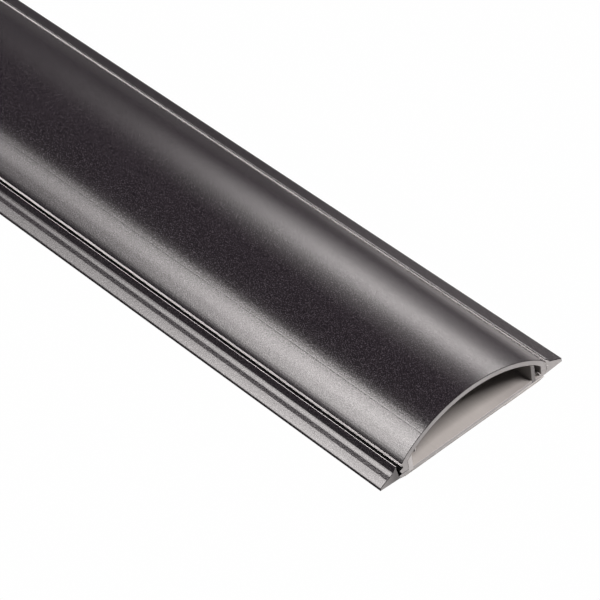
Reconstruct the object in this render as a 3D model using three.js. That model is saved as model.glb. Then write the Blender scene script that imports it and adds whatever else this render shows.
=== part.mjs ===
// Half-round overfloor cable duct: a flat base with two wedge wings and an arched snap-on cover.
// Millimetres. +X runs along the duct, +Y points to the hooked side, -Y to the release side, +Z is up.
// The origin is the middle of the underside, so the duct rests on z = 0.
import * as THREE from 'three';

// Overall size
const LENGTH = 1000;
const WIDTH = 70;
const HEIGHT = 15.7;

// Adhesive tape under the base, with a backing film that is slit along its length
const LINER_THICKNESS = 0.1;
const TAPE_THICKNESS = 0.5;
const TAPE_WIDTH = 56.8;
const LINER_SLIT_Y = 12;
const LINER_SLIT_WIDTH = 0.3;

// Floor strip
const FLOOR_THICKNESS = 1.05;

// Wings: heights are above the floor strip's underside, distances are inward from the wing's tip
const WING_LIFT = 0.35;
const TIP_THICKNESS = 0.8;
const TIP_ROUND = 0.25;
const RAMP_TOP = { inset: 2.4, height: 2.5 };
const CREASE = { inset: 3.6, height: 3.02 };
const SHOULDER = { inset: 4.5, height: 3.65 };
const CREST_INSET = 5.88;
const CREST_HEIGHT = 5.2;
const CREST_ROUND = 0.34;

// Snap groove behind each crest: it opens towards the middle under a short lip
const LIP_DEPTH = 0.95;
const GROOVE_DEPTH = 0.7;
const GROOVE_ROOF_HEIGHT = 3.3;
const GROOVE_ROOF_ROUND = 0.2;
const GROOVE_ROUND = 0.5;

// Upright ribs that the arch bears on
const RIB_INNER_Y = 22.6;
const RIB_THICKNESS = 1.5;
const RIB_GAP = 0.25;

// Cover: an arch of even thickness, seated this far towards the hooked side
const COVER_SHIFT = 1.1;
const ARCH_THICKNESS = 1.72;
const ARCH_RADIUS = 43.8;
const ARCH_HALF_WIDTH = 27.25;
const ARCH_STEPS = 48;

// The arch bends down faster beyond this distance from its middle, on a smaller radius
const KNEE_Y = 24;
const KNEE_RADIUS = 14.4;

// Cover legs, a slim hooked one on +Y and a stout one on the release side.
// Distances are out from the middle of the cover, heights are above the floor strip's top.
const HOOKED_LEG = { inner: 25.5, outer: 27.7, foot: 27.95, barb: 28.5 };
const RELEASE_LEG = { inner: 25.4, outer: 27.35, foot: 28.2, barb: 29.2 };
const LIP = { out: 27.85, height: 3.2, round: 0.4 };
const LEG_GAP = 0.25;
const BARB_TIP_HEIGHT = 1.55;
const BARB_TOP_HEIGHT = 2.0;
const BARB_ROUND = 0.15;
const UNDERCUT_HEIGHT = 2.7;

// Points on each rounded corner
const ROUND_STEPS = 5;

// Colours of the pieces
const BLACK_SKIN = 0x2b292b;
const TAPE_GREY = 0xb9b6b2;
const LINER_GREY = 0xd9d7d2;

// Heights that follow from the stack: liner, tape, floor strip
const tapeZ = LINER_THICKNESS;
const baseZ = tapeZ + TAPE_THICKNESS;
const floorZ = baseZ + FLOOR_THICKNESS;

// The arch's main centre, and the centre of the tighter bend at each edge
const kneeAngle = Math.asin(KNEE_Y / ARCH_RADIUS);
const archCentreZ = HEIGHT - ARCH_RADIUS;
const kneeCentreY = KNEE_Y - KNEE_RADIUS * Math.sin(kneeAngle);
const kneeCentreZ = archCentreZ + (ARCH_RADIUS - KNEE_RADIUS) * Math.cos(kneeAngle);

const point = (y, z) => new THREE.Vector2(y, z);

// Height of the arch at a depth under its outer face, at a distance y from the middle of the cover.
function archZ(depth, y) {
  const mainRadius = ARCH_RADIUS - depth;
  if (Math.abs(y) <= mainRadius * Math.sin(kneeAngle)) {
    return archCentreZ + Math.sqrt(mainRadius ** 2 - y ** 2);
  }
  return kneeCentreZ + Math.sqrt((KNEE_RADIUS - depth) ** 2 - (Math.abs(y) - kneeCentreY) ** 2);
}

// A corner replaced by a round stretch that starts and ends `reach` away from it.
function rounded(before, corner, after, reach) {
  const start = corner.clone().add(before.clone().sub(corner).setLength(reach));
  const end = corner.clone().add(after.clone().sub(corner).setLength(reach));
  return new THREE.QuadraticBezierCurve(start, corner, end).getPoints(ROUND_STEPS);
}

// A run of corners, each [y, z] or [y, z, reach]; a reach rounds the corner. The two end ones stay sharp.
function outline(corners) {
  const at = corners.map(([y, z]) => point(y, z));
  return corners.flatMap(([, , reach], i) => (
    reach ? rounded(at[i - 1], at[i], at[i + 1], reach) : [at[i]]
  ));
}

// A y-z outline drawn out along X, centred on x = 0.
function profile(points, length) {
  const geometry = new THREE.ExtrudeGeometry(new THREE.Shape(points), {
    depth: length,
    steps: 1,
    bevelEnabled: false,
  });
  const toDuctAxes = new THREE.Matrix4().makeBasis(
    new THREE.Vector3(0, 1, 0),
    new THREE.Vector3(0, 0, 1),
    new THREE.Vector3(1, 0, 0),
  );
  geometry.applyMatrix4(toDuctAxes);
  geometry.translate(-length / 2, 0, 0);
  return geometry;
}

function material(color, roughness, metalness) {
  return new THREE.MeshStandardMaterial({ color, roughness, metalness });
}

// One wing's corners, from the floor strip's underside out round the tip and back to the floor's top.
function wingCorners() {
  const tipY = WIDTH / 2;
  const crestY = tipY - CREST_INSET;
  const grooveY = crestY + GROOVE_DEPTH;
  const lipZ = baseZ + CREST_HEIGHT - LIP_DEPTH;
  return [
    [TAPE_WIDTH / 2, baseZ],
    [tipY, baseZ + WING_LIFT, TIP_ROUND],
    [tipY, baseZ + WING_LIFT + TIP_THICKNESS, TIP_ROUND],
    [tipY - RAMP_TOP.inset, baseZ + RAMP_TOP.height, TIP_ROUND],
    [tipY - CREASE.inset, baseZ + CREASE.height, TIP_ROUND],
    [tipY - SHOULDER.inset, baseZ + SHOULDER.height, TIP_ROUND],
    [crestY, baseZ + CREST_HEIGHT, CREST_ROUND],
    [crestY, lipZ],
    [grooveY, baseZ + GROOVE_ROOF_HEIGHT, GROOVE_ROOF_ROUND],
    [grooveY, floorZ, GROOVE_ROUND],
  ];
}

// One rib's corners on the side given by sign, from its outer foot over its top to its inner foot.
function ribCorners(sign) {
  const innerY = sign * RIB_INNER_Y;
  const outerY = sign * (RIB_INNER_Y + RIB_THICKNESS);
  const topZ = (y) => archZ(ARCH_THICKNESS, y - COVER_SHIFT) - RIB_GAP;
  return [
    [outerY, floorZ],
    [outerY, topZ(outerY)],
    [innerY, topZ(innerY)],
    [innerY, floorZ],
  ];
}

const mirrored = (corners) => corners.map(([y, z, reach]) => [-y, z, reach]).reverse();

function makeFloorBase() {
  const hookedSide = [...wingCorners(), ...ribCorners(1)];
  const releaseSide = [...ribCorners(-1).reverse(), ...mirrored(wingCorners())];
  const points = outline([...hookedSide, ...releaseSide]);
  return new THREE.Mesh(profile(points, LENGTH), material(BLACK_SKIN, 0.45, 0.1));
}

// One leg's corners, from the arch's outer edge down round the barb and up to the arch's underside.
function legCorners({ inner, outer, foot, barb }) {
  return [
    [ARCH_HALF_WIDTH, archZ(0, ARCH_HALF_WIDTH)],
    [LIP.out, floorZ + LIP.height, LIP.round],
    [outer, floorZ + UNDERCUT_HEIGHT],
    [outer, floorZ + BARB_TOP_HEIGHT],
    [barb, floorZ + BARB_TIP_HEIGHT, BARB_ROUND],
    [foot, floorZ + LEG_GAP],
    [inner, floorZ + LEG_GAP],
    [inner, archZ(ARCH_THICKNESS, inner)],
  ];
}

// The arch's points at one depth, from one side to the other, without its two end points.
function archPoints(depth, fromY, toY) {
  const between = [...Array(ARCH_STEPS - 1).keys()];
  return between.map((i) => {
    const y = THREE.MathUtils.lerp(fromY, toY, (i + 1) / ARCH_STEPS);
    return point(y, archZ(depth, y));
  });
}

function makeSnapCover() {
  const points = [
    ...archPoints(0, -ARCH_HALF_WIDTH, ARCH_HALF_WIDTH),
    ...outline(legCorners(HOOKED_LEG)),
    ...archPoints(ARCH_THICKNESS, HOOKED_LEG.inner, -RELEASE_LEG.inner),
    ...outline(mirrored(legCorners(RELEASE_LEG))),
  ];
  const mesh = new THREE.Mesh(profile(points, LENGTH), material(BLACK_SKIN, 0.4, 0.15));
  mesh.position.y = COVER_SHIFT;
  return mesh;
}

// A flat strip between two y values, from one height up to another.
function strip(fromY, toY, fromZ, toZ) {
  return profile([point(fromY, fromZ), point(toY, fromZ), point(toY, toZ), point(fromY, toZ)], LENGTH);
}

function makeTape() {
  const half = TAPE_WIDTH / 2;
  return new THREE.Mesh(strip(-half, half, tapeZ, baseZ), material(TAPE_GREY, 0.9, 0));
}

function makeLiner(fromY, toY) {
  return new THREE.Mesh(strip(fromY, toY, 0, tapeZ), material(LINER_GREY, 0.5, 0));
}

const pieces = {
  floor_base: makeFloorBase(),
  snap_cover: makeSnapCover(),
  adhesive_tape: makeTape(),
  release_liner_near: makeLiner(-TAPE_WIDTH / 2, LINER_SLIT_Y - LINER_SLIT_WIDTH / 2),
  release_liner_far: makeLiner(LINER_SLIT_Y + LINER_SLIT_WIDTH / 2, TAPE_WIDTH / 2),
};

const duct = new THREE.Group();
for (const [name, mesh] of Object.entries(pieces)) {
  mesh.name = name;
  duct.add(mesh);
}

export default duct;
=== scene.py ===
"""Looks of a half-round overfloor cable duct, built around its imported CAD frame.

+X runs along the duct, +Y points to the hooked (far) side and -Y to the release (near) side, +Z is up.
Sections are written in millimetres and become metres when they are swept along X.
"""

import math
from typing import NamedTuple

import bpy
from mathutils import Matrix, Vector
from mathutils.geometry import tessellate_polygon


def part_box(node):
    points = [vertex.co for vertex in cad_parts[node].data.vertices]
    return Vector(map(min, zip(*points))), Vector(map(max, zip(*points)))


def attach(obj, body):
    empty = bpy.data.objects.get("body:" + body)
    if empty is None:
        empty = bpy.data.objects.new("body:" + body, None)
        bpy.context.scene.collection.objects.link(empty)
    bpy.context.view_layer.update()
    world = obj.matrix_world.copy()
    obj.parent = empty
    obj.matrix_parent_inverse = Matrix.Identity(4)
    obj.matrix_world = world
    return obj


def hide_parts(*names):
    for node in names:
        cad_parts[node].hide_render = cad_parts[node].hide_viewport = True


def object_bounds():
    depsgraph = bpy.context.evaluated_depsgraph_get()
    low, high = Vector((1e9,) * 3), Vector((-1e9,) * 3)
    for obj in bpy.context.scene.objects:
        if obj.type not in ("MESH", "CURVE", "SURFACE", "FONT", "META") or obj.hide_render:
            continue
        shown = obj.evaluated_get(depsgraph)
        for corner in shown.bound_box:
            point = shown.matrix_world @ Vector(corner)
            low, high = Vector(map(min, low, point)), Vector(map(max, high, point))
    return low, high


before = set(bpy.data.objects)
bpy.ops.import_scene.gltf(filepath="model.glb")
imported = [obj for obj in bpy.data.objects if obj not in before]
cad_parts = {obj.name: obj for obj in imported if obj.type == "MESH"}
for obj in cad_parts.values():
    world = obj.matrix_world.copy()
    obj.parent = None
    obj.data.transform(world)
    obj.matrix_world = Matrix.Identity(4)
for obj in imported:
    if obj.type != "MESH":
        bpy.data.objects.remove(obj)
cad_lo, cad_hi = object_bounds()

MM = 0.001


def box_mm(node):
    """The CAD node's lowest and highest corners in millimetres."""
    lo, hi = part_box(node)
    return lo / MM, hi / MM


BASE_LO, BASE_HI = box_mm("floor_base")
COVER_LO, COVER_HI = box_mm("snap_cover")
TAPE_LO, TAPE_HI = box_mm("adhesive_tape")
NEAR_FILM_LO, NEAR_FILM_HI = box_mm("release_liner_near")
FAR_FILM_LO, FAR_FILM_HI = box_mm("release_liner_far")

# Surface zones of a section, each with its own material
SKIN = "skin"
# EDGE and RIM are bare plastic at two grey levels, both painted lighter than the core to stand for
# highlights along edges; RIM is the dimmer
EDGE = "edge"
RIM = "rim"
# DARK is near-black painted shade, in the near snap groove and on the near leg
DARK = "dark"
CORE = "core"
SAWN = "sawn"
FILM = "film"

FILM_THICKNESS = 0.17


# ---------------------------------------------------------------- driving dimensions, in millimetres

class Wing(NamedTuple):
    """One wing of the base. Insets run in from its tip, and heights up from the base's underside."""

    crest: float        # inset of the crest's inner wall
    tip_height: float
    tip_radius: float
    rise: tuple         # (inset, height, radius) corners of the slope
    flat: float         # how far out from the inner wall the crest's top face starts
    rim: float          # how far out from the inner wall its bare edge starts
    wall_zone: str      # zone at the top of the inner wall
    wall: tuple         # (further inset, height, zone) points down the inner wall


FAR_WING = Wing(
    crest=5.75,
    tip_height=1.68,
    tip_radius=0.15,
    rise=((4.4, 3.66, 0.2),),
    flat=0.4,
    rim=0.04,
    wall_zone=SKIN,
    wall=((0.06, 4.85, EDGE), (0.23, 4.4, CORE), (0.23, 3.0, CORE)),
)
NEAR_WING = Wing(
    crest=6.41,
    tip_height=1.26,
    tip_radius=0.65,
    rise=((2.62, 2.61, 1.2), (3.82, 3.07, 1.6), (4.62, 3.48, 0.8), (5.0, 3.8, 0.8)),
    flat=0.51,
    rim=0.13,
    wall_zone=DARK,
    wall=((0.1, 4.0, DARK), (0.5, 1.6, DARK)),
)
TIP_LIFT = 0.38
CREST_HEIGHT = 5.26
CREST_OUTER_HEIGHT = 5.13

FLOOR_THICKNESS = 1.05
FLOOR_Z = BASE_LO.z + FLOOR_THICKNESS

# Ribs: inner and outer face, out from the middle of the base
FAR_RIB = (23.2, 24.6)
NEAR_RIB = (22.6, 24.28)
RIB_GAP = 0.25


class Leg(NamedTuple):
    """One leg of the cover, measured out from the cover's middle. The lip is the edge of the arch."""

    lip_out: float
    lip_top: float      # height in the frame
    lip_bottom: float   # height in the frame
    lip_lean: float     # how much further out the lip's bottom is than its top
    inner: float
    outer: float
    foot: float
    barb: float
    zone: str


FAR_LEG = Leg(
    lip_out=27.86, lip_top=5.0, lip_bottom=4.25, lip_lean=0.02,
    inner=25.8, outer=27.9, foot=27.9, barb=27.9, zone=CORE,
)
NEAR_LEG = Leg(
    lip_out=27.67, lip_top=5.22, lip_bottom=4.36, lip_lean=0.2,
    inner=25.4, outer=27.35, foot=27.9, barb=28.7, zone=DARK,
)
LIP_UNDERCUT = 0.05
BARB_TOP_HEIGHT = 2.0
BARB_TIP_HEIGHT = 1.55
FOOT_GAP = 0.03

# Arch: a wide arc, then a straight shoulder of (out, height, radius) corners that curls over to the lip
COVER_SHIFT = 1.1
ARCH_THICKNESS = 1.72
ARCH_RADIUS = 43.8
KNEE_Y = 24.0
KNEE_RADIUS = 14.4
KNEE_ANGLE = math.asin(KNEE_Y / ARCH_RADIUS)
ARCH_CENTRE_Z = COVER_HI.z - ARCH_RADIUS
KNEE_CENTRE_Y = KNEE_Y - KNEE_RADIUS * math.sin(KNEE_ANGLE)
KNEE_CENTRE_Z = ARCH_CENTRE_Z + (ARCH_RADIUS - KNEE_RADIUS) * math.cos(KNEE_ANGLE)
FAR_SHOULDER = ((25.6, 7.4, 1.5), (26.5, 6.65, 1.2), (27.05, 6.1, 0.8), (27.4, 5.7, 0.6))
NEAR_SHOULDER = (
    (25.15, 7.76, 1.5), (25.81, 7.24, 1.5), (26.38, 6.72, 1.2), (26.9, 6.17, 0.8), (27.15, 5.87, 0.6),
)

# Die lines on the arch: distance from the middle of the cover and depth
DIE_LINES = ((-21.5, 0.003), (-19.3, 0.018), (-18.8, 0.003), (9.5, 0.003))
DIE_LINE_HALF_WIDTH = 0.15
DIE_LINE_CLEARANCE = 0.2

# The tape narrows towards the floor by this much on each side
TAPE_BEVEL = 2.6
# Its far half stands past the cut end by this much
TAPE_OVERHANG = 0.3
SLIT_Y = (NEAR_FILM_HI.y + FAR_FILM_LO.y) / 2

# How finely shapes are drawn
ROUND_STEP_DEG = 12.0
SLAB_ROUND_STEP_DEG = 30.0
OUTER_ARCH_STEPS = 110
INNER_ARCH_STEPS = 90
STATION_PITCH = 8.0

# The largest share of a straight stretch that a rounded corner may take up
CORNER_SHARE = 0.48


# ---------------------------------------------------------------- sections

def arch_z(depth, y):
    """Height of the arch at a depth under its outer face, y from the middle of the cover."""
    main = ARCH_RADIUS - depth
    if abs(y) <= main * math.sin(KNEE_ANGLE):
        return ARCH_CENTRE_Z + math.sqrt(main ** 2 - y ** 2)
    return KNEE_CENTRE_Z + math.sqrt((KNEE_RADIUS - depth) ** 2 - (abs(y) - KNEE_CENTRE_Y) ** 2)


def rounded(last, corner, following, step_deg):
    """Points (y, z, zone) of one corner's arc. Each corner is (y, z, radius, zone)."""
    y, z, radius, zone = corner
    here = Vector((y, z))
    to_last = Vector(last[:2]) - here
    to_next = Vector(following[:2]) - here
    turn = math.pi - to_last.angle(to_next)
    reach = radius * math.tan(turn / 2)
    limit = CORNER_SHARE * min(to_last.length, to_next.length)
    if reach > limit:
        reach = limit
        radius = reach / math.tan(turn / 2)
    start = here + to_last.normalized() * reach
    end = here + to_next.normalized() * reach
    bisector = (to_last.normalized() + to_next.normalized()).normalized()
    centre = here + bisector * math.hypot(reach, radius)
    from_centre = start - centre
    side = 1 if from_centre.cross(end - centre) > 0 else -1
    steps = max(2, math.ceil(math.degrees(turn) / step_deg))
    points = []
    for k in range(steps + 1):
        at = centre + Matrix.Rotation(side * turn * k / steps, 2) @ from_centre
        points.append((at.x, at.y, zone if k >= steps / 2 else last[3]))
    return points


def fillet(corners, step_deg=ROUND_STEP_DEG):
    """A closed outline of (y, z, zone) from corners (y, z, radius, zone).

    A corner's zone belongs to the stretch that starts there; a radius rounds the corner.
    """
    points = []
    for i, corner in enumerate(corners):
        y, z, radius, zone = corner
        if radius:
            points += rounded(corners[i - 1], corner, corners[(i + 1) % len(corners)], step_deg)
        else:
            points.append((y, z, zone))
    return points


def wing_corners(wing):
    """The +Y wing from the floor strip's underside round the tip and crest back to the floor's top."""
    tip = BASE_HI.y
    low = BASE_LO.z
    crest = tip - wing.crest
    corners = [
        (TAPE_HI.y, low, 0.0, CORE),
        (tip, low + TIP_LIFT, 0.12, SKIN),
        (tip, low + wing.tip_height, wing.tip_radius, SKIN),
    ]
    corners += [(tip - inset, low + height, radius, SKIN) for inset, height, radius in wing.rise]
    corners += [
        (crest + wing.flat, low + CREST_OUTER_HEIGHT, 0.0, SKIN),
        (crest + wing.rim, low + CREST_HEIGHT, 0.0, RIM),
        (crest, low + CREST_HEIGHT, 0.08, wing.wall_zone),
    ]
    corners += [(crest - inset, low + height, 0.08, zone) for inset, height, zone in wing.wall]
    last_inset, _, last_zone = wing.wall[-1]
    return corners + [(crest - last_inset, FLOOR_Z, 0.2, last_zone)]


def rib_corners(side, inner, outer):
    """One upright rib from its outer foot over its top to its inner foot."""

    def top(y):
        return arch_z(ARCH_THICKNESS, side * y - COVER_SHIFT) - RIB_GAP

    return [
        (side * outer, FLOOR_Z, 0.12, CORE),
        (side * outer, top(outer), 0.1, CORE),
        (side * inner, top(inner), 0.1, CORE),
        (side * inner, FLOOR_Z, 0.2, CORE),
    ]


def mirrored(corners, closing_zone):
    """The same run of corners on the -Y side, walked the other way; its last stretch gets closing_zone."""
    zones = [closing_zone] + [zone for _, _, _, zone in corners[:-1]]
    return [(-y, z, r, zone) for (y, z, r, _), zone in zip(reversed(corners), reversed(zones))]


def reversed_run(corners, closing_zone):
    """The same run of corners walked the other way; its last stretch gets closing_zone."""
    return [(-y, z, r, zone) for y, z, r, zone in mirrored(corners, closing_zone)]


def base_outline():
    """The floor base's section."""
    far_rib = rib_corners(1, *FAR_RIB)
    near_rib = reversed_run(rib_corners(-1, *NEAR_RIB), DARK)
    near_wing = mirrored(wing_corners(NEAR_WING), CORE)
    return fillet(wing_corners(FAR_WING) + far_rib + near_rib + near_wing)


def leg_corners(leg):
    """A cover leg from the lip at the arch's edge down round the barb and up to the arch's underside."""
    return [
        (leg.lip_out, leg.lip_top, 0.15, EDGE),
        (leg.lip_out + leg.lip_lean, leg.lip_bottom, 0.08, leg.zone),
        (leg.outer, leg.lip_bottom - LIP_UNDERCUT, 0.06, leg.zone),
        (leg.outer, FLOOR_Z + BARB_TOP_HEIGHT, 0.1, leg.zone),
        (leg.barb, FLOOR_Z + BARB_TIP_HEIGHT, 0.12, leg.zone),
        (leg.foot, FLOOR_Z + FOOT_GAP, 0.06, CORE),
        (leg.inner, FLOOR_Z + FOOT_GAP, 0.06, CORE),
        (leg.inner, arch_z(ARCH_THICKNESS, leg.inner), 0.25, CORE),
    ]


def arch_run(depth, start, end, steps, zone):
    """Points along the arch at a depth, from start to end, without its end points."""
    run = []
    for i in range(1, steps):
        y = start + (end - start) * i / steps
        run.append((y, arch_z(depth, y), 0.0, zone))
    return run


def scored(run):
    """The outer run of the arch with the shallow die lines cut into it."""
    kept = [p for p in run if all(abs(p[0] - y) > DIE_LINE_CLEARANCE for y, _ in DIE_LINES)]
    for y, depth in DIE_LINES:
        for at, cut in ((y - DIE_LINE_HALF_WIDTH, 0.0), (y, depth), (y + DIE_LINE_HALF_WIDTH, 0.0)):
            kept.append((at, arch_z(cut, at), 0.0, SKIN))
    return sorted(kept)


def cover_outline():
    """The snap cover's section."""
    clear_of_fillet = 0.2
    corners = [(-y, z, r, SKIN) for y, z, r in reversed(NEAR_SHOULDER)]
    corners += [(-KNEE_Y, arch_z(0, KNEE_Y), 0.3, SKIN)]
    corners += scored(arch_run(0, -KNEE_Y, KNEE_Y, OUTER_ARCH_STEPS, SKIN))
    corners += [(KNEE_Y, arch_z(0, KNEE_Y), 0.3, SKIN)]
    corners += [(y, z, r, SKIN) for y, z, r in FAR_SHOULDER]
    corners += leg_corners(FAR_LEG)
    corners += arch_run(
        ARCH_THICKNESS, FAR_LEG.inner - clear_of_fillet, clear_of_fillet - NEAR_LEG.inner,
        INNER_ARCH_STEPS, CORE,
    )
    corners += mirrored(leg_corners(NEAR_LEG), SKIN)
    return [(y + COVER_SHIFT, z, zone) for y, z, zone in fillet(corners)]


def slab_outline(lo, hi, radius, draw_in=0.0, splits=()):
    """A flat strip's section between two (y, z) corners.

    draw_in is how much narrower it is underneath, on each side. splits are y values where the top and
    the bottom get a point of their own.
    """
    (y_lo, z_lo), (y_hi, z_hi) = lo, hi
    corners = [(y_lo + draw_in, z_lo, radius, FILM)]
    corners += [(y, z_lo, 0.0, FILM) for y in splits]
    corners += [(y_hi - draw_in, z_lo, radius, FILM), (y_hi, z_hi, radius, FILM)]
    corners += [(y, z_hi, 0.0, FILM) for y in reversed(splits)]
    corners += [(y_lo, z_hi, radius, FILM)]
    return fillet(corners, SLAB_ROUND_STEP_DEG)


# ---------------------------------------------------------------- meshes

# Outline points nearer to each other than this become one
MERGE_DISTANCE = 0.004
# Where the cosine of half a corner's turn is below this, its offset grows no further
LOWEST_MITRE_COSINE = 0.5
# Edges bent by more than this stay sharp
SHARP_ANGLE = math.radians(32)


def add_object(name, data):
    """A new object in the scene."""
    obj = bpy.data.objects.new(name, data)
    bpy.context.scene.collection.objects.link(obj)
    return obj


def cleaned(points):
    """The outline without points that sit on top of each other."""
    kept = []
    for p in points:
        if not kept or math.dist(p[:2], kept[-1][:2]) > MERGE_DISTANCE:
            kept.append(p)
    if math.dist(kept[0][:2], kept[-1][:2]) <= MERGE_DISTANCE:
        kept.pop()
    return kept


def signed_area(points):
    """Positive when the outline runs anticlockwise with y to the right and z up."""
    return 0.5 * sum(a[0] * b[1] - b[0] * a[1] for a, b in zip(points, points[1:] + points[:1]))


def anticlockwise(points):
    """The outline walked anticlockwise, each stretch keeping its zone."""
    if signed_area(points) > 0:
        return points
    turned = points[::-1]
    zones = [zone for _, _, zone in turned[1:] + turned[:1]]
    return [(y, z, zone) for (y, z, _), zone in zip(turned, zones)]


def inward_normals(points):
    """The inward normal at each point of an anticlockwise outline, long enough to keep the offset even."""
    normals = []
    for i, point in enumerate(points):
        before = Vector(points[i - 1][:2])
        here = Vector(point[:2])
        after = Vector(points[(i + 1) % len(points)][:2])
        a = (here - before).normalized()
        b = (after - here).normalized()
        n = Vector((-a.y - b.y, a.x + b.x))
        n.normalize()
        scale = 1 / max(LOWEST_MITRE_COSINE, n.dot(Vector((-a.y, a.x))))
        normals.append(n * scale)
    return normals


def stations_along(x_lo, x_hi, chamfer):
    """(x, inset) of each copy of the section along X; the two end ones are drawn in by the chamfer."""
    span = x_hi - x_lo - 2 * chamfer
    steps = max(1, round(span / STATION_PITCH))
    between = [(x_lo + chamfer + span * i / steps, 0.0) for i in range(steps + 1)]
    return [(x_lo, chamfer)] + between + [(x_hi, chamfer)]


def side_faces(points, station_count):
    """A quad for each stretch of the outline between each pair of stations, with its zone."""
    count = len(points)
    faces = []
    for a in range(0, (station_count - 1) * count, count):
        b = a + count
        for i, (_, _, zone) in enumerate(points):
            j = (i + 1) % count
            faces.append(((a + i, b + i, b + j, a + j), zone))
    return faces


def cap_faces(verts, ring, points, normals, inset, film, cap_zone):
    """Faces that close an end towards +X: the black film's cut edge under the skin, then the plastic.

    ring holds the numbers of the end's vertices, and the film's inner edge is added to verts.
    """
    inner = list(ring)
    for i, (y, z, zone) in enumerate(points):
        if film and zone == SKIN and points[i - 1][2] == SKIN:
            offset = normals[i] * (inset + film)
            inner[i] = len(verts)
            verts.append((verts[ring[i]][0], (y + offset.x) * MM, (z + offset.y) * MM))
    faces = []
    for i in range(len(ring)):
        j = (i + 1) % len(ring)
        corners = tuple(dict.fromkeys((ring[i], ring[j], inner[j], inner[i])))
        if len(corners) > 2:
            faces.append((corners, FILM))
    flat = [Vector((verts[v][1], verts[v][2], 0.0)) for v in inner]
    for a, b, c in tessellate_polygon([flat]):
        if (flat[b] - flat[a]).cross(flat[c] - flat[a]).z < 0:
            b, c = c, b
        faces.append(((inner[a], inner[b], inner[c]), cap_zone))
    return faces


def sweep(name, outline, x_lo, x_hi, materials, cap_zone, film=0.0, chamfer=0.06, reach=None):
    """A closed solid of one section swept along X, its cut ends eased by a small chamfer.

    reach(y) is how far past x_hi the cut end stands there, in millimetres.
    """
    points = anticlockwise(cleaned(outline))
    normals = inward_normals(points)
    stations = stations_along(x_lo, x_hi, chamfer)
    verts = []
    for s, (x, inset) in enumerate(stations):
        at_cut_end = reach is not None and s >= len(stations) - 2
        for (y, z, _), n in zip(points, normals):
            past = reach(y) if at_cut_end else 0.0
            verts.append(((x + past) * MM, (y + n.x * inset) * MM, (z + n.y * inset) * MM))

    faces = side_faces(points, len(stations))
    first_ring = range(len(points))
    last_ring = range(len(verts) - len(points), len(verts))
    first_cap = cap_faces(verts, first_ring, points, normals, chamfer, film, cap_zone)
    faces += [(corners[::-1], zone) for corners, zone in first_cap]
    faces += cap_faces(verts, last_ring, points, normals, chamfer, film, cap_zone)

    mesh = bpy.data.meshes.new(name)
    mesh.from_pydata(verts, [], [corners for corners, _ in faces])
    for material in materials.values():
        mesh.materials.append(material)
    slots = list(materials)
    mesh.polygons.foreach_set("material_index", [slots.index(zone) for _, zone in faces])
    mesh.polygons.foreach_set("use_smooth", [True] * len(faces))
    mesh.update()
    mesh.validate()
    mesh.set_sharp_from_angle(angle=SHARP_ANGLE)
    return add_object(name, mesh)


# ---------------------------------------------------------------- materials

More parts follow.
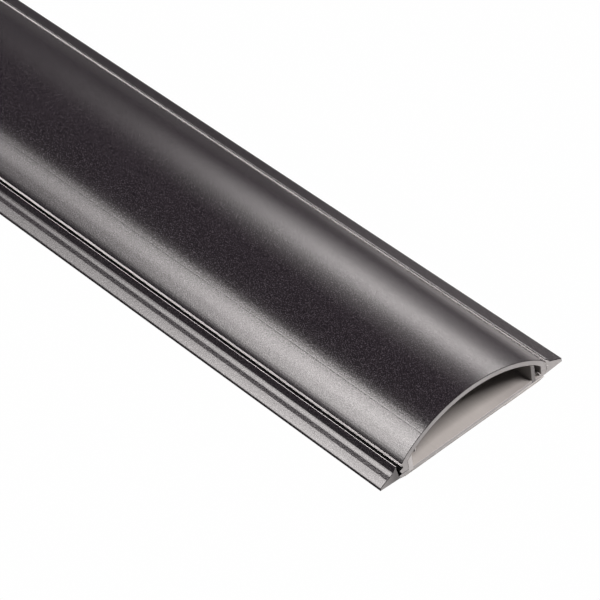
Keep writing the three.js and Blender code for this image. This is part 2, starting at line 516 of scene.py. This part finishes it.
class Nodes:
    """A small helper that adds nodes to one material's tree and links them. Scales are per millimetre."""

    def __init__(self, name):
        self.material = bpy.data.materials.new(name)
        self.material.use_nodes = True
        self.tree = self.material.node_tree
        self.shader = self.tree.nodes["Principled BSDF"]

    def fill(self, socket, value):
        """Links a socket to another one, or sets its value."""
        if isinstance(value, bpy.types.NodeSocket):
            self.tree.links.new(value, socket)
        else:
            socket.default_value = value

    def add(self, kind, inputs=None, **settings):
        """A new node with these settings, and with these inputs linked or set."""
        node = self.tree.nodes.new(kind)
        for key, value in settings.items():
            setattr(node, key, value)
        for key, value in (inputs or {}).items():
            self.fill(node.inputs[key], value)
        return node

    def surface(self, **inputs):
        """Sets the main shader's inputs, with _ for each space in their names."""
        for key, value in inputs.items():
            self.fill(self.shader.inputs[key.replace("_", " ")], value)

    def end_with(self, shader):
        """Makes the shader node the material's surface."""
        self.tree.links.new(shader.outputs[0], self.tree.nodes["Material Output"].inputs["Surface"])

    def millimetres(self, scale=(1, 1, 1)):
        """Object coordinates in millimetres, stretched by scale."""
        coords = self.add("ShaderNodeTexCoord")
        return self.add("ShaderNodeVectorMath", {
            0: coords.outputs["Object"],
            1: tuple(s / MM for s in scale),
        }, operation="MULTIPLY").outputs[0]

    def split(self, vector):
        """The vector's x, y and z."""
        return self.add("ShaderNodeSeparateXYZ", {0: vector}).outputs

    def noise(self, vector, scale, detail=2.0, roughness=0.5):
        """Cloudy noise, most of it from 0.3 to 0.7."""
        return self.add("ShaderNodeTexNoise", {
            "Vector": vector, "Scale": scale, "Detail": detail, "Roughness": roughness,
        }).outputs["Fac"]

    def pebbles(self, vector, scale, smooth=0.6):
        """Rounded cells, packed close."""
        return self.add("ShaderNodeTexVoronoi", {
            "Vector": vector, "Scale": scale, "Smoothness": smooth,
        }, feature="SMOOTH_F1").outputs["Distance"]

    def calc(self, operation, a, b):
        """One sum on two values."""
        return self.add("ShaderNodeMath", {0: a, 1: b}, operation=operation).outputs[0]

    def product(self, first, *others):
        """All the values multiplied."""
        for other in others:
            first = self.calc("MULTIPLY", first, other)
        return first

    def remap(self, value, lo, hi, to_lo=0.0, to_hi=1.0):
        """to_lo where the value is lo, to_hi where it is hi, and even in between."""
        return self.add("ShaderNodeMapRange", {
            "Value": value, "From Min": lo, "From Max": hi, "To Min": to_lo, "To Max": to_hi,
        }).outputs[0]

    def patches(self, vector, scale, detail=2.0, to_lo=0.0, to_hi=1.0):
        """Noise with more contrast, from to_lo to to_hi."""
        return self.remap(self.noise(vector, scale, detail), 0.3, 0.7, to_lo, to_hi)

    def between(self, value, rise, fall):
        """1 between two fades: up from 0 over rise and back down over fall, each (start, end)."""
        return self.calc("SUBTRACT", self.remap(value, *rise), self.remap(value, *fall))

    def blend(self, factor, a, b):
        """Colour a where the factor is 0 and colour b where it is 1; each is a socket or three numbers."""
        a, b = (c if isinstance(c, bpy.types.NodeSocket) else (*c, 1.0) for c in (a, b))
        mix = self.add("ShaderNodeMix", {0: factor, 6: a, 7: b}, data_type="RGBA", clamp_factor=False)
        return mix.outputs[2]

    def bump(self, height, distance_mm, below=None):
        """A bumped normal, on top of the one below."""
        inputs = {"Height": height, "Distance": distance_mm * MM, "Strength": 1.0}
        if below is not None:
            inputs["Normal"] = below
        return self.add("ShaderNodeBump", inputs).outputs[0]


def grained_skin():
    """Black film with a fine pebbled grain and faint lengthwise die lines."""
    nodes = Nodes("black_grained_film")
    at = nodes.millimetres()
    lines = nodes.noise(nodes.millimetres((0.01, 1.0, 1.0)), 1.6, 3.0, 0.6)
    mottle = nodes.noise(at, 1.1)
    pebbles = nodes.pebbles(at, 2.4)
    specks = nodes.patches(at, 3.3)
    black, grey = (0.0016, 0.0004, 0.0018), (0.034, 0.029, 0.0332)
    normal = nodes.bump(lines, 0.005)
    normal = nodes.bump(mottle, 0.010, normal)
    normal = nodes.bump(pebbles, 0.011, normal)
    nodes.surface(
        Base_Color=nodes.blend(nodes.calc("POWER", specks, 2.0), black, grey),
        Roughness=nodes.patches(at, 0.9, 3.0, 0.16, 0.2),
        Specular_IOR_Level=nodes.remap(specks, 0.0, 1.0, 0.38, 0.6),
        Normal=normal,
    )
    return nodes.material


def painted_groove_shade():
    """Near-black with almost no reflection, painted in the near snap groove and on the near leg to stand
    for the shade in there.
    """
    nodes = Nodes("groove_shade_black")
    along = nodes.millimetres((0.01, 1.0, 1.0))
    black, paler = (0.0005, 0.0003, 0.0005), (0.0012, 0.0008, 0.0010)
    nodes.surface(
        Base_Color=nodes.blend(nodes.noise(along, 2.0, 3.0), black, paler),
        Roughness=nodes.patches(along, 5.0, 3.0, 0.3, 0.4),
        Specular_IOR_Level=0.03,
        Normal=nodes.bump(nodes.noise(along, 4.0, 3.0), 0.01),
    )
    return nodes.material


def bare_edge_highlight(name, low, high):
    """Light plastic left bare where the film stops along an edge, between two grey levels, lighter than the
    core plastic so that it also paints the highlight along the edge.
    """
    nodes = Nodes(name)
    along = nodes.millimetres((0.02, 1.0, 1.0))
    warm = Vector((1.0, 0.975, 0.97))
    nodes.surface(
        Base_Color=nodes.blend(nodes.noise(along, 3.0, 3.0), warm * low, warm * high),
        Roughness=0.3,
        Normal=nodes.bump(nodes.noise(along, 4.0), 0.006),
    )
    return nodes.material


def core_plastic():
    """Warm light grey plastic inside the duct, faintly streaked, with painted shade that darkens it towards
    the far side.
    """
    nodes = Nodes("grey_core_plastic")
    streaks = nodes.noise(nodes.millimetres((0.008, 1.0, 1.0)), 1.2, 4.0, 0.6)
    _, across, _ = nodes.split(nodes.millimetres())
    unshaded = nodes.blend(nodes.remap(streaks, 0.3, 0.7), (0.288, 0.272, 0.260), (0.303, 0.287, 0.274))
    nodes.surface(
        # Painted shade: the colour darkens towards the far side, where the arch shades the inside
        Base_Color=nodes.blend(nodes.remap(across, 6.0, 23.0, 0.0, 0.36), unshaded, (0.04, 0.034, 0.034)),
        Roughness=0.42,
        Normal=nodes.bump(streaks, 0.012),
    )
    return nodes.material


def sawn_plastic():
    """The cut face: light grey plastic with fine saw marks, with painted light and shade that make some
    parts of it lighter and others darker.
    """
    nodes = Nodes("sawn_grey_plastic")
    marks = nodes.noise(nodes.millimetres((1.0, 0.35, 2.4)), 2.6, 4.0, 0.65)
    at = nodes.millimetres()
    _, across, up = nodes.split(at)

    # Painted shade on the near wing, darkest at its crest and lighter towards its tip
    wing = nodes.remap(across, -29.0, -33.5, 0.37, 0.76)
    # The rest is lightest beside the near wing, with painted shade that darkens it a little towards the far
    # side
    rest = nodes.product(nodes.remap(across, -28.3, -27.3), nodes.remap(across, -22.5, 26.0, 1.0, 0.74))
    # Painted shade makes the arch and the tops of the ribs darker than what is below them
    high = nodes.remap(up, 5.5, 8.0, 1.0, 0.83)
    # Painted shadow darkens the far rib below the arch, whose underside slopes down across it
    below_arch = nodes.remap(nodes.calc("ADD", up, nodes.product(across, 0.65)), 22.75, 22.55)
    far_rib = nodes.product(nodes.between(across, (23.1, 23.2), (24.6, 24.7)), below_arch, 0.5)
    # Painted light makes the near rib the lightest
    near_rib = nodes.product(
        nodes.between(across, (-24.3, -24.2), (-22.7, -22.5)), nodes.remap(up, 6.2, 5.6), 0.37,
    )

    shade = nodes.product(
        nodes.calc("MAXIMUM", wing, rest),
        high,
        nodes.calc("SUBTRACT", 1.0, far_rib),
        nodes.calc("ADD", 1.0, near_rib),
    )
    unshaded = nodes.blend(nodes.patches(at, 0.22, 3.0), (0.40, 0.392, 0.389), (0.45, 0.441, 0.437))
    nodes.surface(
        Base_Color=nodes.blend(shade, (0.0, 0.0, 0.0), unshaded),
        Roughness=0.6,
        Normal=nodes.bump(marks, 0.03),
    )
    return nodes.material


def film_cut():
    """The cut edge of the black film."""
    nodes = Nodes("black_film_cut")
    at = nodes.millimetres()
    nodes.surface(
        Base_Color=nodes.blend(nodes.noise(at, 3.0), (0.02, 0.019, 0.02), (0.05, 0.048, 0.05)),
        Roughness=0.6,
        Normal=nodes.bump(nodes.noise(at, 6.0), 0.01),
    )
    return nodes.material


def foam():
    """Grey foam of the adhesive tape, with small cells."""
    nodes = Nodes("foam_tape")
    at = nodes.millimetres()
    nodes.surface(
        Base_Color=nodes.blend(nodes.patches(at, 0.3, 3.0), (0.29, 0.28, 0.27), (0.38, 0.37, 0.36)),
        Roughness=0.9,
        Normal=nodes.bump(nodes.pebbles(at, 5.0, smooth=0.3), 0.06),
    )
    return nodes.material


def backing_film():
    """Thin glazed backing paper, slightly wavy."""
    nodes = Nodes("backing_film")
    at = nodes.millimetres()
    nodes.surface(
        Base_Color=nodes.blend(nodes.patches(at, 0.08, 4.0), (0.6, 0.59, 0.565), (0.7, 0.69, 0.66)),
        Roughness=nodes.patches(at, 0.5, 3.0, 0.35, 0.5),
        Normal=nodes.bump(nodes.noise(nodes.millimetres((0.3, 1.0, 1.0)), 0.2, 3.0), 0.1),
    )
    return nodes.material


PLASTIC = {
    SKIN: grained_skin(),
    DARK: painted_groove_shade(),
    EDGE: bare_edge_highlight("bare_edge_highlight_plastic", 0.92, 1.0),
    RIM: bare_edge_highlight("bare_rim_highlight_plastic", 0.48, 0.62),
    CORE: core_plastic(),
    SAWN: sawn_plastic(),
    FILM: film_cut(),
}


# ---------------------------------------------------------------- pieces

def place(obj, body, slot, *cad_nodes):
    """Rides the piece on its body and hides the CAD nodes it stands for. The slot is not used."""
    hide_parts(*cad_nodes)
    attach(obj, body)


def make_profiles():
    """The base and the cover."""
    base = sweep("base_profile", base_outline(), BASE_LO.x, BASE_HI.x, PLASTIC, SAWN, FILM_THICKNESS)
    place(base, "base", "base_plastic", "floor_base")
    cover = sweep("cover_profile", cover_outline(), COVER_LO.x, COVER_HI.x, PLASTIC, SAWN, FILM_THICKNESS)
    place(cover, "cover", "cover_plastic", "snap_cover")


def make_tape():
    """The foam tape, whose far half stands a little past the cut end."""
    step_half_width = 0.05
    outline = slab_outline(
        (TAPE_LO.y, TAPE_LO.z), (TAPE_HI.y, TAPE_HI.z), 0.08, TAPE_BEVEL,
        (SLIT_Y - step_half_width, SLIT_Y + step_half_width),
    )
    tape = sweep(
        "tape_strip", outline, TAPE_LO.x, TAPE_HI.x, {FILM: foam()}, FILM, chamfer=0.02,
        reach=lambda y: TAPE_OVERHANG if y > SLIT_Y else 0.0,
    )
    place(tape, "base", "foam_tape", "adhesive_tape")


def make_backing_films():
    """The backing film's two halves, under the tape on either side of the slit."""
    material = backing_film()
    near = ((NEAR_FILM_LO.y + TAPE_BEVEL, NEAR_FILM_LO.z), (NEAR_FILM_HI.y, NEAR_FILM_HI.z))
    far = ((FAR_FILM_LO.y, FAR_FILM_LO.z), (FAR_FILM_HI.y - TAPE_BEVEL, FAR_FILM_HI.z))
    for name, node, corners, x_lo, x_hi in (
        ("liner_film_near", "release_liner_near", near, NEAR_FILM_LO.x, NEAR_FILM_HI.x),
        ("liner_film_far", "release_liner_far", far, FAR_FILM_LO.x, FAR_FILM_HI.x + TAPE_OVERHANG),
    ):
        film = sweep(name, slab_outline(*corners, 0.02), x_lo, x_hi, {FILM: material}, FILM, chamfer=0.01)
        place(film, "base", "liner_film", node)


# Slivers left by the saw. Each follows a path of (y, z) points from its root to its tip, and runs from
# its depth behind the cut end to a little past it.
BURR_PROUD = 0.1
BURR_TAPER = 0.8
BURRS = (
    {
        "name": "burr_cavity", "body": "base", "slot": "base_plastic", "width": 0.26, "depth": 0.5,
        "path": ((26.55, 1.66), (26.3, 2.1), (26.15, 2.6), (25.8, 3.1)),
    },
    {
        "name": "burr_wing", "body": "base", "slot": "base_plastic", "width": 0.3, "depth": 0.3,
        "path": ((29.2, 3.5), (29.45, 3.15), (29.8, 2.85)),
    },
    {
        "name": "burr_arch", "body": "cover", "slot": "cover_plastic", "width": 0.25, "depth": 0.4,
        "path": ((-21.15, 7.3), (-21.3, 6.8), (-21.6, 6.3)),
    },
)


def burr_outline(path, width):
    """A ribbon along the path that narrows to its tip."""
    left, right = [], []
    last = len(path) - 1
    for i, (y, z) in enumerate(path):
        ahead = Vector(path[min(i + 1, last)]) - Vector(path[max(i - 1, 0)])
        side = Vector((-ahead.y, ahead.x)).normalized() * width * (1.0 - BURR_TAPER * i / last) / 2
        left.append((y + side.x, z + side.y, RIM))
        right.append((y - side.x, z - side.y, RIM))
    return right + left[::-1]


def make_burrs():
    """The slivers, a little proud of the cut end."""
    for burr in BURRS:
        sliver = sweep(
            burr["name"], burr_outline(burr["path"], burr["width"]),
            BASE_HI.x - burr["depth"], BASE_HI.x + BURR_PROUD, {RIM: PLASTIC[RIM]}, RIM, chamfer=0.01,
        )
        place(sliver, burr["body"], burr["slot"])


make_profiles()
make_tape()
make_backing_films()
make_burrs()


# ---------------------------------------------------------------- studio, in metres

STUDIO_TINT = (1.0, 0.957, 0.945)
PANEL_DISTANCE = 1.3
FLOOR_SIZE = 60.0
# The floor lies this far under the object
FLOOR_DROP = 0.00002
# The middle of the cut end's lower edge
END = Vector((cad_hi.x, 0.0, 0.0))


def direction(azimuth, elevation):
    """A unit vector: azimuth turns from +X towards +Y, elevation is above the floor, in degrees."""
    a, e = math.radians(azimuth), math.radians(elevation)
    return Vector((math.cos(a) * math.cos(e), math.sin(a) * math.cos(e), math.sin(e)))


def aim(obj, location, back, up_hint):
    """Puts obj at location with its local +Z along back and its local +Y as near up_hint as it can be."""
    z = back.normalized()
    x = up_hint.cross(z).normalized()
    y = z.cross(x)
    turn = Matrix((x, y, z)).transposed().to_4x4()
    obj.matrix_world = Matrix.Translation(location) @ turn


def softbox(name, towards, distance, size, radiance, target):
    """A square area light seen from target in the direction towards."""
    light = bpy.data.lights.new(name, "AREA")
    light.shape = "SQUARE"
    light.size = size
    light.energy = radiance * math.pi * size ** 2
    light.color = STUDIO_TINT
    lamp = add_object(name, light)
    lamp.visible_camera = False
    back = Vector(towards).normalized()
    aim(lamp, target + back * distance, back, up_hint=Vector((0, 1, 0)))


def ramp(nodes, value, stops):
    """A linear ramp through (position, level) stops."""
    node = nodes.add("ShaderNodeValToRGB", {"Fac": value})
    elements = node.color_ramp.elements
    while len(elements) < len(stops):
        elements.new(0.5)
    for element, (position, level) in zip(elements, stops):
        element.position = position
        element.color = (level, level, level, 1.0)
    return node.outputs["Color"]


def panel_glow(name, layers):
    """An emission that sums its layers, each (radiance, stops along the panel, stops across it)."""
    nodes = Nodes(name)
    along, across, _ = nodes.split(nodes.add("ShaderNodeTexCoord").outputs["UV"])
    total = 0.0
    for radiance, along_stops, across_stops in layers:
        level = nodes.product(ramp(nodes, along, along_stops), radiance, ramp(nodes, across, across_stops))
        total = nodes.calc("ADD", level, total)
    nodes.end_with(nodes.add("ShaderNodeEmission", {"Color": (*STUDIO_TINT, 1.0), "Strength": total}))
    return nodes.material


def glow_panel(name, angles, x_range, layers):
    """A glowing panel that runs beside the duct, feathered along its length and across it.

    angles are its lower and upper edge about the duct's axis, in degrees from +Y towards +Z.
    Each layer is (radiance, stops along x_range, stops from the lower edge to the upper one).
    """
    middle = math.radians(sum(angles) / 2)
    half = PANEL_DISTANCE * math.tan(math.radians(abs(angles[1] - angles[0]) / 2))
    outward = Vector((0.0, math.cos(middle), math.sin(middle)))
    centre = Vector((sum(x_range) / 2, 0.0, 0.0)) + outward * PANEL_DISTANCE
    across = Vector((0.0, -math.sin(middle), math.cos(middle)))
    if angles[1] < angles[0]:
        across = -across
    along = Vector((abs(x_range[1] - x_range[0]) / 2, 0.0, 0.0))
    corners = [
        centre + along * u + across * half * v
        for u, v in ((-1, -1), (1, -1), (1, 1), (-1, 1))
    ]
    mesh = bpy.data.meshes.new(name)
    mesh.from_pydata(corners, [], [(0, 1, 2, 3)])
    layer = mesh.uv_layers.new(name="panel")
    for loop, uv in zip(layer.data, ((0, 0), (1, 0), (1, 1), (0, 1))):
        loop.uv = uv
    mesh.materials.append(panel_glow(name + "_glow", layers))
    panel = add_object(name, mesh)
    panel.visible_camera = False
    panel.visible_shadow = False


def make_lights():
    """A panel along each side of the duct, and a softbox above the cut end."""
    # The near panel is crisp along its top edge and feathers out below
    glow_panel("near_panel", (164.0, 106.8), (-1.15, -0.05), [
        (
            11.4,
            [(0.0, 0.1), (0.41, 0.22), (0.455, 0.36), (0.5, 0.67), (0.536, 0.87), (0.58, 1.0)],
            [(0.0, 0.0), (0.115, 0.22), (0.22, 0.45), (0.325, 0.78), (0.43, 0.97), (0.64, 1.0),
             (0.69, 0.96), (0.76, 0.0)],
        ),
        (
            13.6,
            [(0.0, 0.3), (0.38, 0.55), (0.427, 0.7), (0.47, 0.86), (0.51, 1.0)],
            [(0.66, 0.0), (0.74, 1.0), (0.85, 0.93), (0.94, 0.7), (0.975, 0.62), (1.0, 0.5)],
        ),
    ])
    # The far panel is a soft streak over a wider and weaker glow
    glow_panel("far_panel", (2.0, 64.0), (-1.0, 0.0), [
        (
            4.4,
            [(0.36, 0.0), (0.41, 0.1), (0.455, 0.74), (0.5, 1.0)],
            [(0.24, 0.0), (0.33, 0.25), (0.4, 0.68), (0.47, 1.0), (0.55, 1.0), (0.63, 0.72),
             (0.72, 0.2), (0.85, 0.0)],
        ),
        (
            3.0,
            [(0.2, 0.1), (0.28, 0.35), (0.34, 0.8), (0.41, 1.0), (0.45, 1.0), (0.52, 0.62), (0.7, 0.5)],
            [(0.0, 0.14), (0.09, 0.26), (0.18, 0.46), (0.28, 0.74), (0.38, 0.92), (0.47, 1.0),
             (0.6, 0.9), (0.76, 0.52), (0.9, 0.3), (1.0, 0.12)],
        ),
    ])
    softbox("end_fill", towards=(0.42, 0.36, 0.83), distance=1.2, size=0.5, radiance=34.0, target=END)


def make_world():
    """A dim grey studio all round. The camera sees plain white."""
    world = bpy.data.worlds.new("studio")
    bpy.context.scene.world = world
    world.use_nodes = True
    tree = world.node_tree
    dim = tree.nodes["Background"]
    dim.inputs["Color"].default_value = (0.13, 0.125, 0.13, 1.0)
    white = tree.nodes.new("ShaderNodeBackground")
    white.inputs["Color"].default_value = (1.0, 1.0, 1.0, 1.0)
    path = tree.nodes.new("ShaderNodeLightPath")
    mix = tree.nodes.new("ShaderNodeMixShader")
    tree.links.new(path.outputs["Is Camera Ray"], mix.inputs[0])
    tree.links.new(dim.outputs[0], mix.inputs[1])
    tree.links.new(white.outputs[0], mix.inputs[2])
    tree.links.new(mix.outputs[0], tree.nodes["World Output"].inputs["Surface"])


def floor_material():
    """The camera sees plain white. The duct sees a dim floor with a pool of light painted into its colour
    round the cut end on the far side.
    """
    nodes = Nodes("white_floor")
    at = nodes.millimetres()
    x, y, _ = nodes.split(at)
    # Painted pool of light on the floor, round the cut end on the far side
    towards_end = nodes.remap(x, BASE_HI.x - 140.0, BASE_HI.x - 20.0)
    towards_far_side = nodes.remap(y, -20.0, 40.0)
    lit = nodes.product(towards_end, towards_far_side, 0.42)
    dim = nodes.patches(at, 0.02, to_lo=0.05, to_hi=0.06)
    nodes.surface(
        Base_Color=nodes.blend(nodes.calc("ADD", dim, lit), (0.0, 0.0, 0.0), (1.0, 0.975, 0.965)),
        Roughness=0.9,
    )
    white = nodes.add("ShaderNodeEmission", {"Color": (1.0, 1.0, 1.0, 1.0), "Strength": 0.995})
    nodes.end_with(nodes.add("ShaderNodeMixShader", {
        0: nodes.add("ShaderNodeLightPath").outputs["Is Camera Ray"],
        1: nodes.shader.outputs[0],
        2: white.outputs[0],
    }))
    return nodes.material


def make_floor():
    """A large flat sheet just under the object."""
    half = FLOOR_SIZE / 2
    z = cad_lo.z - FLOOR_DROP
    mesh = bpy.data.meshes.new("floor")
    mesh.from_pydata(
        [(-half, -half, z), (half, -half, z), (half, half, z), (-half, half, z)], [], [(0, 1, 2, 3)],
    )
    mesh.materials.append(floor_material())
    add_object("floor", mesh)


# Camera: aimed a little in from the end of the duct and rolled slightly, with angles in degrees
CAMERA_AZIMUTH = 55.0
CAMERA_ELEVATION = 41.84
CAMERA_ROLL = -8.97
CAMERA_DISTANCE = 0.9968
CAMERA_LENS = 202.4
CAMERA_SHIFT = (0.00223, -0.00165)
LOOK_AT = END + Vector((-0.0778, 0.0023, 0.0))


def make_camera():
    """The camera, azimuth 0 looking along +Y."""
    data = bpy.data.cameras.new("camera")
    data.lens = CAMERA_LENS
    data.sensor_width = 36.0
    data.shift_x, data.shift_y = CAMERA_SHIFT
    data.clip_start = 0.01
    data.clip_end = 100.0
    camera = add_object("camera", data)
    back = direction(CAMERA_AZIMUTH - 90.0, CAMERA_ELEVATION)
    level = direction(CAMERA_AZIMUTH, 0.0)
    roll = math.radians(CAMERA_ROLL)
    up = back.cross(level) * math.cos(roll) - level * math.sin(roll)
    aim(camera, LOOK_AT + back * CAMERA_DISTANCE, back, up)
    bpy.context.scene.camera = camera


def plain_colours():
    """Colours as they are lit, with no film look."""
    view = bpy.context.scene.view_settings
    view.view_transform = "Standard"
    view.look = "None"
    view.exposure = 0.0
    view.gamma = 1.0


make_lights()
make_world()
make_floor()
make_camera()
plain_colours()
